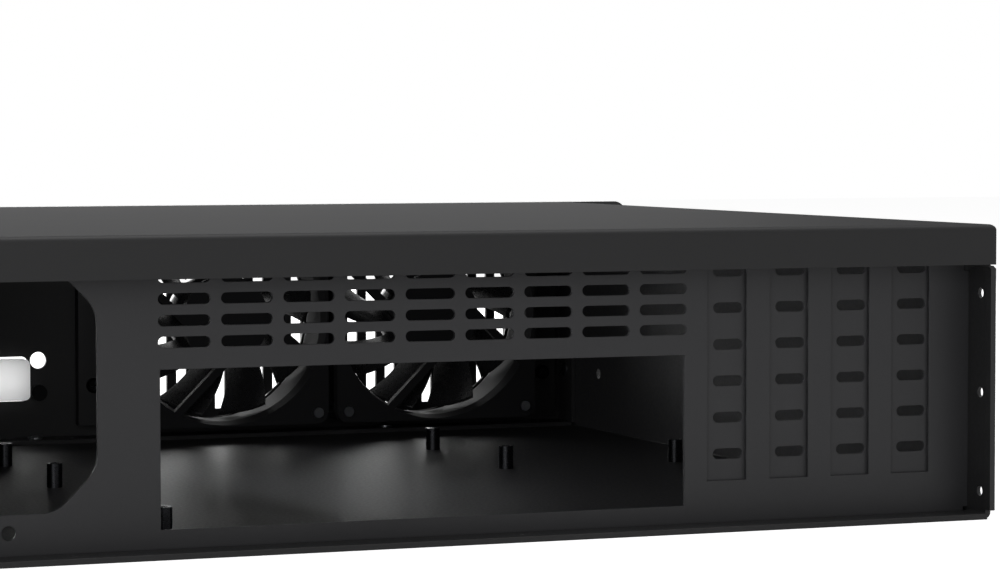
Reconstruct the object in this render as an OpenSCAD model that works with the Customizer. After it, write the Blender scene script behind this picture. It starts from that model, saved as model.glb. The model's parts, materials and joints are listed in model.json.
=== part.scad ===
// Rackmount server case, two rack units high, without a board or a supply.
// Seen from above, +Y is the rear, -Y the front with the rack ears, and +X the supply side.

/* [Case] */
// Width of the body over its side faces
case_w = 430; // [424:0.5:436]
// Depth of the body from the front face to the rear edges
body_d = 340; // [336:1:420]
// Height over the cover
case_h = 88.6; // [88.2:0.1:92]
// Sheet of the tray and of the rear panel
sheet_t = 1.2; // [0.9:0.1:1.3]
// Sheet of the cover
lid_t = 1; // [0.8:0.1:1.2]
// Sheet of the front panel
front_t = 1.5; // [1.2:0.1:2]
// Outer radius of the bends
bend_r = 1.8; // [1.7:0.1:2.4]
// Clearance between the cover and what it lies over
lid_gap = 0.3; // [0.3:0.05:0.4]
// Depth of the ledge behind the rear panel
ledge_d = 14.5; // [13.5:0.5:20]

/* [Cover and tray] */
// Height of the skirts and of the rear flange of the cover
skirt_h = 12.1; // [11:0.1:14]
// Height of the slope where the walls step inward
joggle_h = 1.2; // [1:0.1:2]
// Thickness of the hem along the rear edges of the tray
hem_t = 1.7; // [1.5:0.1:2]
// Depth of the hem
hem_d = 3.4; // [2:0.1:4]
// Side of the relief at the rear corners
relief = 2.6; // [2:0.1:4]
// Diameter of the holes in the ledge
ledge_hole_d = 3.2; // [2:0.1:4]
// Pitch of the ledge holes in the side walls
ledge_hole_pitch = 29.9; // [25:0.1:32]
// Height of the lowest ledge hole
ledge_hole_z = 7.9; // [6:0.1:10]
// Pitch of the ledge holes in the floor
floor_hole_pitch = 130.7; // [100:0.1:135]
// Distance of the ledge holes from the rear panel
ledge_hole_y = 7.4; // [5:0.1:9]
// Distance of the first and last cover screws from the ends of the body
lid_screw_inset = 42; // [30:1:60]
// Height of the cover screws below the top
lid_screw_drop = 6.6; // [6:0.1:7]
// Height of the rail holes
rail_z = 23; // [15:0.5:30]
// Pitch of the rail holes
rail_pitch = 127; // [100:1:135]
// Distance of the front rail hole from the front face
rail_inset = 38.5; // [30:0.5:50]

/* [Rear panel] */
// Distance of the middle of the board aperture from the right side of the case
io_in = 175; // [173:0.5:177]
// Width of the board aperture
io_w = 158.75; // [150:0.05:160]
// Height of the board aperture
io_h = 44.45; // [40:0.05:46]
// Height of its lower edge
io_z = 6.5; // [5:0.1:8]
// Number of vents in a row
vent_count = 9; // [3:1:9]
// Number of rows of vents
vent_rows = 4; // [1:1:4]
// Length of a vent
vent_l = 15; // [10:0.1:16]
// Height of a vent
vent_h = 3.1; // [2:0.1:4]
// Pitch of the vents along a row
vent_pitch = 18.1; // [17:0.1:18.5]
// Pitch of the rows
vent_row_pitch = 6; // [5:0.1:6.5]
// Height of the first row above the aperture
vent_lift = 7.5; // [5:0.1:9]
// Depth of the side flanges of the rear panel
rear_flange_d = 12; // [10:0.5:16]
// Depth of its floor flange
rear_foot_d = 7; // [6:0.5:8]

/* [Card slots] */
// Number of card slots
slot_count = 4; // [4:1:4]
// Pitch of the slots
slot_pitch = 20.32; // [20:0.01:20.5]
// Width of a slot window
slot_w = 12.7; // [11:0.1:13.5]
// Gap between the aperture and the first window
slot_gap = 7.3; // [6:0.1:9]
// Height of the lower edge of the windows
slot_z = 13.5; // [11:0.1:16]
// Height of the shelf for the cover tabs
shelf_z = 82.4; // [81:0.1:83]
// Width of a slot cover
cover_w = 18.42; // [17:0.01:18.6]
// Sheet of a slot cover
cover_t = 0.9; // [0.8:0.1:1.2]
// Length of the tab of a slot cover
cover_tab = 11.4; // [10:0.1:12]
// Number of vents in a slot cover
cover_vents = 6; // [2:1:6]
// Length of a vent in a slot cover
cover_vent_l = 9.6; // [7:0.1:10]
// Pitch of the vents in a slot cover
cover_vent_pitch = 10.8; // [9:0.1:11]
// Height of the lowest vent above the window's lower edge
cover_vent_lift = 7.8; // [6:0.1:9]

/* [Supply bay] */
// Distance of the middle of the supply bay from the left side of the case
psu_in = 87.9; // [87:0.1:89]
// Width of the supply
psu_w = 150; // [149:0.5:151]
// Height of the supply
psu_h = 86; // [85:0.1:86]
// Width of the opening
psu_open_w = 139.9; // [136:0.1:140]
// Height of the opening
psu_open_h = 67.1; // [64:0.1:68]
// Height of its lower edge above the supply's underside
psu_open_lift = 11; // [10.5:0.1:12]
// Chamfer of the opening at three corners
psu_chamfer = 11.5; // [9:0.5:13]
// Chamfer at the outer lower corner
psu_chamfer_low = 19; // [15:0.5:22]
// Radius that softens the chamfers
psu_round = 10; // [4:0.5:12]
// Diameter of the supply's screw holes
psu_hole_d = 4; // [3.6:0.1:4.4]
// Distance of the screw holes from the supply's edges
psu_hole_inset = 6; // [6:0.1:6.2]
// Distance of the low outer hole from the supply's underside
psu_hole_low = 16; // [16:0.1:16.5]
// Distance of the low inner hole from the supply's inner side
psu_hole_in = 30; // [30:0.1:30.5]

/* [Board posts] */
// Height of a post
post_h = 7.8; // [6:0.1:9]
// Diameter of a post
post_d = 5.1; // [4.6:0.1:5.5]
// Diameter of its thread
post_bore_d = 3; // [2.5:0.1:3]
// Distance of the first row of posts from the rear panel
post_y = 12.2; // [11:0.1:13]
// Distance of the first post beyond the aperture
post_in = 9.1; // [8:0.1:10]
// Distance between the two outer posts of the first row
post_step = 45.72; // [45:0.01:46]
// Distance across the board between the main columns of posts
post_span = 157.48; // [157:0.01:158]
// How far the inner post of the first row lies in front of the others
post_drop = 22.86; // [22:0.01:23]
// Distance from the first row to the second
post_row_2 = 154.94; // [154:0.01:156]
// Distance from the first row to the third
post_row_3 = 227.33; // [226:0.01:228]
// How far the outer post of the second row lies beyond the first row's
post_outer = 17.78; // [17:0.01:18]

/* [Fans] */
// Side of a fan
fan_w = 80; // [79:0.1:80.5]
// Thickness of a fan
fan_t = 25; // [24.5:0.1:26]
// Spacing of its screw holes
fan_hole_pitch = 71.5; // [71:0.1:72]
// Pitch of the two fans
fan_pitch = 83.4; // [82:0.1:86]
// Distance of the middle between the two fans from the right side of the case
fan_in = 106.4; // [103:0.1:109]
// Height of the fan axis
fan_z = 46.8; // [46.4:0.1:47]
// Bore of a fan
fan_bore_d = 76.4; // [75:0.1:77]
// Diameter of the rotor over its blades
rotor_d = 74.4; // [72:0.1:74.6]
// Diameter of the rotor hub
hub_d = 33; // [31:0.1:36]
// Angle by which a blade's tip lags behind its root
blade_sweep = 17; // [10:1:24]
// Angle of the first blade at rest
blade_start = 32; // [0:1:40]
// Number of blades
blade_count = 9; // [5:1:9]
// Diameter of the fan shaft
shaft_d = 3; // [2:0.1:3.2]
// Depth of the bracket that carries the fans
bracket_d = 4.7; // [4.4:0.1:6]
// Distance of the bracket's inner edge from the middle of the fans
bracket_in = 91.6; // [90:0.1:93]
// Distance of its outer edge from there
bracket_out = 100.2; // [98:0.1:100.4]
// Diameter of the bracket's fan openings
bracket_open_d = 77; // [74:0.5:78]
// Distance of the bracket's screws from its ends
bracket_inset = 5.6; // [5:0.1:6]
// Spacing of the bracket's screws in height
bracket_screw_span = 50; // [40:1:60]

/* [Front panel] */
// How far a rack ear stands out beyond the side of the body
ear_out = 26.3; // [25:0.1:27]
// Distance of the ear slots from the end of the ear
ear_slot_in = 8.75; // [8:0.05:9]
// Spacing of the ear slots in height
ear_slot_h = 76.2; // [76:0.1:76.4]
// Radius of the ear corners
ear_r = 5; // [2:0.5:6]
// Depth of the side and floor flanges
front_flange_d = 15.5; // [14:0.5:17]
// Depth of the top flange
top_flange_d = 4; // [3:0.1:5]
// Number of grille slots in front of the fans
grille_count = 21; // [5:1:21]
// Number of grille slots in front of the drives
grille_drive_count = 15; // [5:1:15]
// Width of a grille slot
grille_w = 4; // [3:0.1:4.5]
// Pitch of the grille slots
grille_pitch = 7.6; // [7:0.1:7.8]
// Height of the lower end of the grille
grille_z = 11.2; // [10:0.1:14]
// Length of the grille slots
grille_h = 66.2; // [60:0.1:67]
// How far the middle of the grille lies outward of the middle between the fans
grille_shift = 2.6; // [1:0.1:4]

/* [Handles] */
// How far a handle stands in front of the ears
handle_d = 36; // [30:0.5:45]
// Spacing of the handle's two ends
handle_span = 55; // [50:0.5:58]
// Diameter of the handle's bar
handle_bar_d = 8; // [7:0.1:9]
// Radius of the handle's bends
handle_bend_r = 9; // [8:0.5:10]
// Distance of the handle's middle from the side of the body
handle_out = 6.4; // [6:0.1:6.8]

/* [Power button] */
// Distance of the near edge of the button from the middle between the fans
button_in = 110.2; // [109:0.1:112]
// Width of the button
button_w = 42; // [36:0.5:43]
// Height of the button
button_h = 15.2; // [12:0.1:16]
// Height of its lower edge
button_z = 17; // [16:0.1:20]
// Corner radius of the button
button_r = 2; // [1:0.1:3]
// Gap between the button and the edge of its window
button_gap = 0.7; // [0.5:0.05:0.9]
// How far the button stands in front of the panel
button_out = 2; // [1.5:0.1:3]
// Travel of the button
button_travel = 1.6; // [1:0.1:1.8]
// Diameter of the spare hole beside the button
spare_hole_d = 6.2; // [4:0.1:7]
// Height of the spare hole
spare_hole_z = 31.4; // [30:0.1:36]
// Diameter of the status light
light_d = 6; // [4:0.1:6.5]
// Height of the status light
light_z = 19.3; // [17:0.1:21]
// Distance of the light from the button
light_gap = 4.4; // [4:0.1:6]

/* [Drive cage] */
// Width of a drive
drive_w = 101.6; // [101:0.1:102]
// Clearance at each side of a drive
drive_gap = 0.4; // [0.3:0.05:1]
// Distance between the outer screw holes in a drive's side
drive_hole_span = 101.6; // [101:0.1:102]
// Distance from the rear screw hole to the middle one
drive_hole_mid = 41.6; // [41:0.1:42]
// Height of the lower drive's screw holes above the floor
drive_hole_z = 9.4; // [8:0.1:12]
// Distance between two drives in height
drive_pitch = 28.6; // [28:0.1:34]
// Height of the cage
cage_h = 62; // [50:0.5:70]
// Length of the cage
cage_l = 150; // [140:1:155]
// Sheet of the cage
cage_t = 1; // [0.8:0.1:1.2]
// Width of the foot flanges of the cage
cage_foot = 12; // [10:0.5:14]

/* [Screws and rivets] */
// Diameter of the small screws
screw_d = 3; // [2.5:0.1:3]
// Diameter of the heads of the small screws and the fan screws
head_d = 5.6; // [5:0.1:6]
// Height of a small screw's head
head_h = 1.9; // [1.5:0.1:2.2]
// Diameter of the rivets
rivet_d = 3.2; // [3:0.1:4]
// Diameter of the fan screws and handle screws
big_screw_d = 3.8; // [3.5:0.1:3.9]
// Diameter of the heads of the handle screws
big_head_d = 7; // [6.4:0.1:7.4]
// Clearance between a screw and its hole
hole_gap = 0.05; // [0.02:0.01:0.1]

/* [Hidden] */
$fn = 48;
over = 1;
rear_y = (body_d + handle_d) / 2;
front_y = rear_y - body_d;
front_in_y = front_y + front_t;
panel_y = rear_y - ledge_d;
panel_in_y = panel_y - sheet_t;
half_w = case_w / 2;
io_x = io_in - half_w;
psu_x = half_w - psu_in;
fan_x = fan_in - half_w;
ear_w = case_w + 2 * ear_out;
ear_slot_w = ear_w - 2 * ear_slot_in;
grille_x = fan_x - grille_shift;
button_x = fan_x + button_in;
wall_in_x = half_w - sheet_t;
lid_under_z = case_h - lid_t;
wall_top_z = lid_under_z - lid_gap;
joggle_in = lid_t + lid_gap;
joggle_z = case_h - skirt_h;
inner_half_w = wall_in_x - joggle_in - lid_gap;
mid_z = case_h / 2;
hole_r = screw_d / 2 + hole_gap;
big_hole_r = big_screw_d / 2 + hole_gap;

// Card slots
slot_x0 = io_x - io_w / 2 - slot_gap - slot_w / 2;
slot_top_z = shelf_z - 2 * sheet_t;
zone_out_x = slot_x0 + cover_w / 2 + sheet_t;
zone_in_x = slot_x0 - (slot_count - 1) * slot_pitch - cover_w / 2 - sheet_t;
shelf_d = cover_tab + sheet_t;
tongue_z = slot_z - 5 * sheet_t - head_h;
tab_screw_y = panel_in_y + cover_tab / 2 + hem_t / 2;

// Supply bay
psu_z = sheet_t + lid_gap;
psu_in_x = psu_x - psu_w / 2;
psu_out_x = psu_x + psu_w / 2;
psu_open_z = psu_z + psu_open_lift;
psu_hole_places = [
    [psu_in_x + psu_hole_in, psu_z + psu_hole_inset],
    [psu_in_x + psu_hole_inset, psu_z + psu_h - psu_hole_inset],
    [psu_out_x - psu_hole_inset, psu_z + psu_h - psu_hole_inset],
    [psu_out_x - psu_hole_inset, psu_z + psu_hole_low]
];

// Board posts, counted from the first post toward +X and toward the front
post_x0 = io_x - io_w / 2 - post_in;
post_places = [
    [-post_step, 0],
    [0, 0],
    [post_span, post_drop],
    [0, post_row_2],
    [post_span, post_row_2],
    [-post_step - post_outer, post_row_2],
    [0, post_row_3],
    [post_span, post_row_3]
];

// Fans: their own Z runs from the bracket to the rear
bracket_y = front_in_y + bracket_d;
bracket_low_z = fan_z - fan_w / 2;
bracket_top_z = fan_z + fan_w / 2 - sheet_t;
fan_flange_t = fan_t * 0.18;
strut_t = fan_t * 0.12;
tube_r = hub_d * 0.14;
bearing_r = tube_r * 0.66;
hub_wall = hub_d * 0.045;
magnet_t = hub_d * 0.045;
hub_front_z = fan_t * 0.05;
hub_back_z = fan_t * 0.83;
stator_r = hub_d / 2 - hub_wall - magnet_t - hub_wall / 2;

// Power button
button_mid_x = button_x + button_w / 2;
button_mid_z = button_z + button_h / 2;
button_back = bracket_d * 1.25;
stem_d = button_h / 3;
leg_1 = button_back + button_travel + lid_gap;
clip_t = button_r * 0.4;
clip_at = leg_1 + sheet_t + hole_gap;
stem_end = clip_at + clip_t + button_r;
switch_at = stem_end + button_travel + lid_gap;
switch_l = 2 * button_travel + sheet_t;
leg_2 = switch_at + switch_l;
leg_end_x = button_mid_x - stem_d - hole_gap;
web_x = button_x + button_w + button_gap + 2 * sheet_t;
foot_w = 2 * head_d;
leg_h = button_h - sheet_t;

// Drive cage
cage_x = psu_x;
cage_y = front_y + front_flange_d + front_t;
cage_half = drive_w / 2 + drive_gap;
cage_hole_y = cage_y + cage_l - 2 * cage_foot;
cage_hole_ys = [cage_hole_y, cage_hole_y - drive_hole_mid, cage_hole_y - drive_hole_span];

// Handles
handle_reach = handle_d - handle_bar_d / 2;

// Shared shapes

module round_rect(w, h, r) {
    square([w, h - 2 * r], center = true);
    square([w - 2 * r, h], center = true);
    for (sx = [-1, 1], sy = [-1, 1])
        translate([sx * (w / 2 - r), sy * (h / 2 - r)])
            circle(r);
}

// A slot with round ends along X
module obround(l, h) {
    square([l - h, h], center = true);
    for (s = [-1, 1])
        translate([s * (l - h) / 2, 0])
            circle(h / 2);
}

// Stands a shape drawn in X and Z on the plane y and carries it t toward +Y
module upright(y, t) {
    translate([0, y + t, 0])
        rotate([90, 0, 0])
            linear_extrude(t)
                children();
}

module bore_y(x, y, z, r, l) {
    translate([x, y, z])
        rotate([-90, 0, 0])
            cylinder(r = r, h = l);
}

module bore_x(x, y, z, r, l) {
    translate([x, y, z])
        rotate([0, 90, 0])
            cylinder(r = r, h = l);
}

// A pan head screw whose head lies on z = 0 and whose shank points down
module screw(d, l, hd, hh) {
    difference() {
        union() {
            translate([0, 0, -l])
                cylinder(d = d, h = l + hh / 2);
            cylinder(d = hd, h = hh * 0.6);
            translate([0, 0, hh * 0.6])
                cylinder(d1 = hd, d2 = hd * 0.7, h = hh * 0.4);
        }
        for (a = [0, 90])
            rotate([0, 0, a])
                translate([-hd * 0.28, -hd * 0.06, hh * 0.5])
                    cube([hd * 0.56, hd * 0.12, hh]);
    }
}

// A rivet flush on one side, with its head at z = 0
module rivet(l) {
    translate([0, 0, -l])
        cylinder(d = rivet_d, h = l + sheet_t / 3);
    cylinder(d = rivet_d * 1.7, h = sheet_t / 2);
    translate([0, 0, sheet_t / 2])
        cylinder(d1 = rivet_d * 1.7, d2 = rivet_d * 0.9, h = sheet_t / 3);
}

// Case

// Outline of the tray across, drawn inset by t from its outer faces
module tray_outline(t, top) {
    w = case_w - 2 * t;
    h = joggle_z - joggle_h - t;
    r = bend_r - t;
    translate([0, t + h / 2 + r / 2])
        square([w, h - r], center = true);
    translate([0, t + r / 2])
        square([w - 2 * r, r], center = true);
    for (s = [-1, 1])
        translate([s * (w / 2 - r), t + r])
            circle(r);
    polygon([
        [-w / 2, t + h],
        [w / 2, t + h],
        [w / 2 - joggle_in, joggle_z],
        [w / 2 - joggle_in, top],
        [joggle_in - w / 2, top],
        [joggle_in - w / 2, joggle_z]
    ]);
}

module tray_ring(y, l, t, top) {
    upright(y, l)
        difference() {
            tray_outline(0, top);
            tray_outline(t, top + over);
        }
}

lid_screw_ys = [
    front_y + lid_screw_inset,
    (front_y + rear_y) / 2,
    rear_y - lid_screw_inset
];
lid_screw_z = case_h - lid_screw_drop;
upper_end_y = rear_y - lid_t - lid_gap;
rivet_zs = [rail_z, joggle_z - rail_z / 2];
front_rivet_y = front_y + front_flange_d / 2;
rear_rivet_y = panel_in_y - rear_flange_d / 2;
front_rivet_xs = [-case_w * 0.32, 0, case_w * 0.32];
rear_foot_y = panel_in_y - rear_foot_d / 2;
rear_foot_xs = [-case_w * 0.24, case_w * 0.24];

module base_tray() {
    color("#1c1c1e")
        difference() {
            union() {
                tray_ring(front_in_y, rear_y - front_in_y, sheet_t, wall_top_z);
                tray_ring(rear_y - hem_d, hem_d, hem_t, wall_top_z);
            }
            // the cover's rear flange closes here
            translate([-half_w, upper_end_y, joggle_z - lid_gap])
                cube([case_w, ledge_d, case_h]);
            for (s = [-1, 1]) {
                translate([s * half_w, rear_y, 0])
                    cube([2 * relief, 2 * relief, 2 * relief], center = true);
                for (y = lid_screw_ys)
                    bore_x(s * (half_w - joggle_in) - sheet_t * (s + 1) / 2 - over * (1 - s) / 2 - over / 2,
                        y, lid_screw_z, hole_r, sheet_t + 2 * over);
                for (k = [0:2])
                    bore_x(s * half_w - sheet_t * 2, panel_y + ledge_hole_y,
                        ledge_hole_z + k * ledge_hole_pitch, ledge_hole_d / 2, sheet_t * 4);
                for (k = [0:2])
                    bore_x(s * half_w - sheet_t * 2, front_y + rail_inset + k * rail_pitch,
                        rail_z, big_hole_r, sheet_t * 4);
                for (z = rivet_zs) {
                    bore_x(s * half_w - sheet_t * 2, front_rivet_y, z, rivet_d / 2 + hole_gap, sheet_t * 4);
                    bore_x(s * half_w - sheet_t * 2, rear_rivet_y, z, rivet_d / 2 + hole_gap, sheet_t * 4);
                }
            }
            for (k = [-1.5:1:1.5])
                translate([k * floor_hole_pitch, panel_y + ledge_hole_y, -over])
                    cylinder(d = ledge_hole_d, h = sheet_t + 2 * over);
            for (x = front_rivet_xs)
                translate([x, front_rivet_y, -over])
                    cylinder(r = rivet_d / 2 + hole_gap, h = sheet_t + 2 * over);
            for (x = rear_foot_xs)
                translate([x, rear_foot_y, -over])
                    cylinder(r = rivet_d / 2 + hole_gap, h = sheet_t + 2 * over);
            for (p = cage_foot_places)
                translate([p[0], p[1], -over])
                    cylinder(r = hole_r, h = sheet_t + 2 * over);
        }
}

// The supply opening, with softened chamfers
module psu_opening() {
    x0 = psu_x - psu_open_w / 2;
    x1 = psu_x + psu_open_w / 2;
    z0 = psu_open_z;
    z1 = psu_open_z + psu_open_h;
    c = psu_chamfer;
    b = psu_chamfer_low;
    polygon([
        [x0 + c, z0],
        [x1 - b, z0],
        [x1, z0 + b],
        [x1, z1 - c],
        [x1 - c, z1],
        [x0 + c, z1],
        [x0, z1 - c],
        [x0, z0 + c]
    ]);
}

// Takes the sharp corners off an opening whose corners are all 45 degrees
module softened(r) {
    offset(r = r)
        offset(delta = -r)
            children();
}

module rear_panel_face() {
    difference() {
        polygon([
            [-inner_half_w, sheet_t],
            [inner_half_w, sheet_t],
            [inner_half_w, wall_top_z],
            [zone_out_x, wall_top_z],
            [zone_out_x, shelf_z],
            [zone_in_x, shelf_z],
            [zone_in_x, wall_top_z],
            [-inner_half_w, wall_top_z]
        ]);
        translate([io_x, io_z + io_h / 2])
            square([io_w, io_h], center = true);
        for (c = [0:vent_count - 1], r = [0:vent_rows - 1])
            translate([
                io_x + (c - (vent_count - 1) / 2) * vent_pitch,
                io_z + io_h + vent_lift + r * vent_row_pitch
            ])
                obround(vent_l, vent_h);
        for (k = [0:slot_count - 1])
            translate([slot_x0 - k * slot_pitch, (slot_z + slot_top_z) / 2])
                square([slot_w, slot_top_z - slot_z], center = true);
    }
}

module rear_panel() {
    color("#2b2b2e")
        difference() {
            union() {
                upright(panel_in_y, sheet_t)
                    rear_panel_face();
                for (s = [-1, 1]) {
                    translate([s * (wall_in_x - sheet_t / 2), panel_y - rear_flange_d / 2, joggle_z / 2])
                        cube([sheet_t, rear_flange_d, joggle_z - 4 * sheet_t], center = true);
                    translate([s * (wall_in_x + inner_half_w) / 2, panel_y - sheet_t / 2, joggle_z / 2])
                        cube([wall_in_x - inner_half_w, sheet_t, joggle_z - 4 * sheet_t], center = true);
                }
                translate([-inner_half_w, panel_y - rear_foot_d, sheet_t])
                    cube([2 * inner_half_w, rear_foot_d, sheet_t]);
                translate([zone_out_x, panel_in_y, wall_top_z - sheet_t])
                    cube([inner_half_w - zone_out_x, shelf_d, sheet_t]);
                translate([-inner_half_w, panel_in_y, wall_top_z - sheet_t])
                    cube([inner_half_w + zone_in_x, shelf_d, sheet_t]);
                translate([zone_in_x, panel_in_y, shelf_z - sheet_t])
                    cube([zone_out_x - zone_in_x, shelf_d, sheet_t]);
            }
            upright(panel_in_y - over, sheet_t + 2 * over)
                softened(psu_round)
                    psu_opening();
            for (p = psu_hole_places)
                bore_y(p[0], panel_in_y - over, p[1], psu_hole_d / 2, sheet_t + 2 * over);
            for (k = [0:slot_count - 1])
                translate([slot_x0 - k * slot_pitch, tab_screw_y, shelf_z - 2 * sheet_t])
                    cylinder(r = hole_r, h = 4 * sheet_t);
            for (s = [-1, 1], z = rivet_zs)
                bore_x(s * wall_in_x - 2 * sheet_t, rear_rivet_y, z, rivet_d / 2 + hole_gap, 4 * sheet_t);
            for (x = rear_foot_xs)
                translate([x, rear_foot_y, 0])
                    cylinder(r = rivet_d / 2 + hole_gap, h = 4 * sheet_t);
        }
}

module rear_rivets() {
    color("#8f9296") {
        for (s = [-1, 1], z = rivet_zs)
            translate([s * (wall_in_x - sheet_t), rear_rivet_y, z])
                rotate([0, -90 * s, 0])
                    rivet(2 * sheet_t);
        for (x = rear_foot_xs)
            translate([x, rear_foot_y, 2 * sheet_t])
                rivet(2 * sheet_t);
    }
}

// The cover's outline across, inset by t from its outer faces
module lid_outline(t) {
    w = case_w - 2 * t;
    r = bend_r - t;
    z0 = joggle_z - (t > 0 ? over : 0);
    z1 = case_h - t;
    translate([0, (z0 + z1 - r) / 2])
        square([w, z1 - r - z0], center = true);
    translate([0, z1 - r / 2])
        square([w - 2 * r, r], center = true);
    for (s = [-1, 1])
        translate([s * (w / 2 - r), z1 - r])
            circle(r);
}

// The cover's outline from front to rear, inset by t from its outer faces
module lid_profile(t, front) {
    z0 = joggle_z - (t > 0 ? over : 0);
    z1 = case_h - t;
    y1 = rear_y - t;
    r = bend_r - t;
    translate([front, z0])
        square([y1 - front, z1 - r - z0]);
    translate([front, z1 - r])
        square([y1 - r - front, r]);
    translate([y1 - r, z1 - r])
        circle(r);
}

module lid_body(t, front) {
    intersection() {
        upright(front, rear_y - front)
            lid_outline(t);
        rotate([90, 0, 90])
            translate([0, 0, -half_w])
                linear_extrude(case_w)
                    lid_profile(t, front);
    }
}

module lid() {
    color("#2f2f31")
        difference() {
            lid_body(0, front_in_y + lid_gap);
            lid_body(lid_t, front_in_y - over);
            for (s = [-1, 1], y = lid_screw_ys) {
                translate([s * half_w, y, (joggle_z + lid_screw_z) / 2 - over / 2])
                    cube([4 * lid_t, screw_d + 4 * hole_gap, lid_screw_z - joggle_z + over], center = true);
                bore_x(s * half_w - 2 * lid_t, y, lid_screw_z, screw_d / 2 + 2 * hole_gap, 4 * lid_t);
            }
        }
}

module lid_screws() {
    color("#3a3a3c")
        for (s = [-1, 1], y = lid_screw_ys)
            translate([s * (half_w + lid_gap), y, lid_screw_z])
                rotate([0, 90 * s, 0])
                    screw(screw_d, joggle_in + lid_gap + 3 * sheet_t, head_d, head_h);
}

module lid_nuts() {
    color("#a9acb0")
        for (s = [-1, 1], y = lid_screw_ys)
            translate([s * (wall_in_x - joggle_in), y, lid_screw_z])
                rotate([0, -90 * s, 0])
                    difference() {
                        cylinder(d = head_d + sheet_t, h = 1.5 * sheet_t);
                        translate([0, 0, -over])
                            cylinder(r = hole_r, h = 4 * sheet_t);
                    }
}

// Front panel

module grille(x, count) {
    for (k = [0:count - 1])
        translate([x + (k - (count - 1) / 2) * grille_pitch - grille_w / 2, grille_z])
            square([grille_w, grille_h]);
}

module front_panel() {
    ear_slot = big_screw_d * 1.8;
    color("#1f1f21")
        difference() {
            union() {
                upright(front_y, front_t)
                    difference() {
                        translate([0, mid_z])
                            round_rect(ear_w, case_h, ear_r);
                        grille(grille_x, grille_count);
                        grille(cage_x, grille_drive_count);
                        translate([button_mid_x, button_mid_z])
                            round_rect(button_w + 2 * button_gap, button_h + 2 * button_gap,
                                button_r + button_gap);
                        for (s = [-1, 1], t = [-1, 1])
                            translate([s * ear_slot_w / 2, mid_z + t * ear_slot_h / 2])
                                obround(ear_slot * 1.5, ear_slot);
                    }
                for (s = [-1, 1])
                    translate([s * (wall_in_x - front_t / 2), front_y + front_flange_d / 2, joggle_z / 2])
                        cube([front_t, front_flange_d, joggle_z - 4 * sheet_t], center = true);
                translate([-inner_half_w, front_y, sheet_t])
                    cube([2 * inner_half_w, front_flange_d, front_t]);
                translate([-inner_half_w, front_y, wall_top_z - front_t])
                    cube([2 * inner_half_w, top_flange_d, front_t]);
            }
            bore_y(button_x - light_gap - hole_gap, front_y - over, spare_hole_z, spare_hole_d / 2, 4 * front_t);
            bore_y(button_x - light_gap, front_y - over, light_z, light_d / 2 + hole_gap, 4 * front_t);
            for (s = [-1, 1], t = [-1, 1])
                bore_y(s * (half_w + handle_out), front_y - over, mid_z + t * handle_span / 2,
                    big_hole_r, 4 * front_t);
            for (p = bracket_screw_places)
                bore_y(p[0], front_y - over, p[1], hole_r, 4 * front_t);
            for (p = foot_screw_places)
                bore_y(p[0], front_y - over, p[1], hole_r, 4 * front_t);
            for (s = [-1, 1], z = rivet_zs)
                bore_x(s * wall_in_x - 2 * front_t, front_rivet_y, z, rivet_d / 2 + hole_gap, 4 * front_t);
            for (x = front_rivet_xs)
                translate([x, front_rivet_y, 0])
                    cylinder(r = rivet_d / 2 + hole_gap, h = 4 * front_t);
        }
}

module front_rivets() {
    color("#8f9296") {
        for (s = [-1, 1], z = rivet_zs)
            translate([s * (wall_in_x - front_t), front_rivet_y, z])
                rotate([0, -90 * s, 0])
                    rivet(sheet_t + front_t);
        for (x = front_rivet_xs)
            translate([x, front_rivet_y, sheet_t + front_t])
                rivet(sheet_t + front_t);
    }
}

// Fans

bracket_screw_places = [
    for (x = [fan_x + bracket_in - bracket_inset, fan_x - bracket_out + bracket_inset], s = [-1, 1])
        [x, fan_z + s * bracket_screw_span / 2]
];

module bracket_box(t, d) {
    w = bracket_in + bracket_out - 2 * t;
    h = bracket_top_z - bracket_low_z - 2 * t;
    translate([fan_x - bracket_out + t, front_in_y, bracket_low_z + t])
        cube([w, d, h]);
}

module fan_bracket() {
    color("#242426")
        difference() {
            bracket_box(0, bracket_d);
            translate([0, -over, 0])
                bracket_box(sheet_t, bracket_d - sheet_t + over);
            for (x = fan_places) {
                bore_y(x, front_in_y, fan_z, bracket_open_d / 2, 4 * bracket_d);
                for (sx = [-1, 1], sz = [-1, 1])
                    bore_y(x + sx * fan_hole_pitch / 2, front_in_y, fan_z + sz * fan_hole_pitch / 2,
                        big_hole_r, 4 * bracket_d);
                for (sx = [-1, 1], sz = [-1, 1])
                    bore_y(x + sx * fan_hole_pitch / 2, front_in_y - over, fan_z + sz * fan_hole_pitch / 2,
                        head_d / 2 + lid_gap, bracket_d - sheet_t + over);
            }
            for (p = bracket_screw_places)
                bore_y(p[0], front_in_y, p[1], hole_r, 4 * bracket_d);
        }
}

module bracket_screws() {
    color("#3a3a3c")
        for (p = bracket_screw_places)
            translate([p[0], bracket_y, p[1]])
                rotate([-90, 0, 0])
                    screw(screw_d, bracket_d + front_t * 0.8, head_d, head_h);
}

fan_places = [fan_x + fan_pitch / 2, fan_x - fan_pitch / 2];

module at_fan(k) {
    translate([fan_places[k], bracket_y, fan_z])
        rotate([-90, 0, 0])
            children();
}

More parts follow.
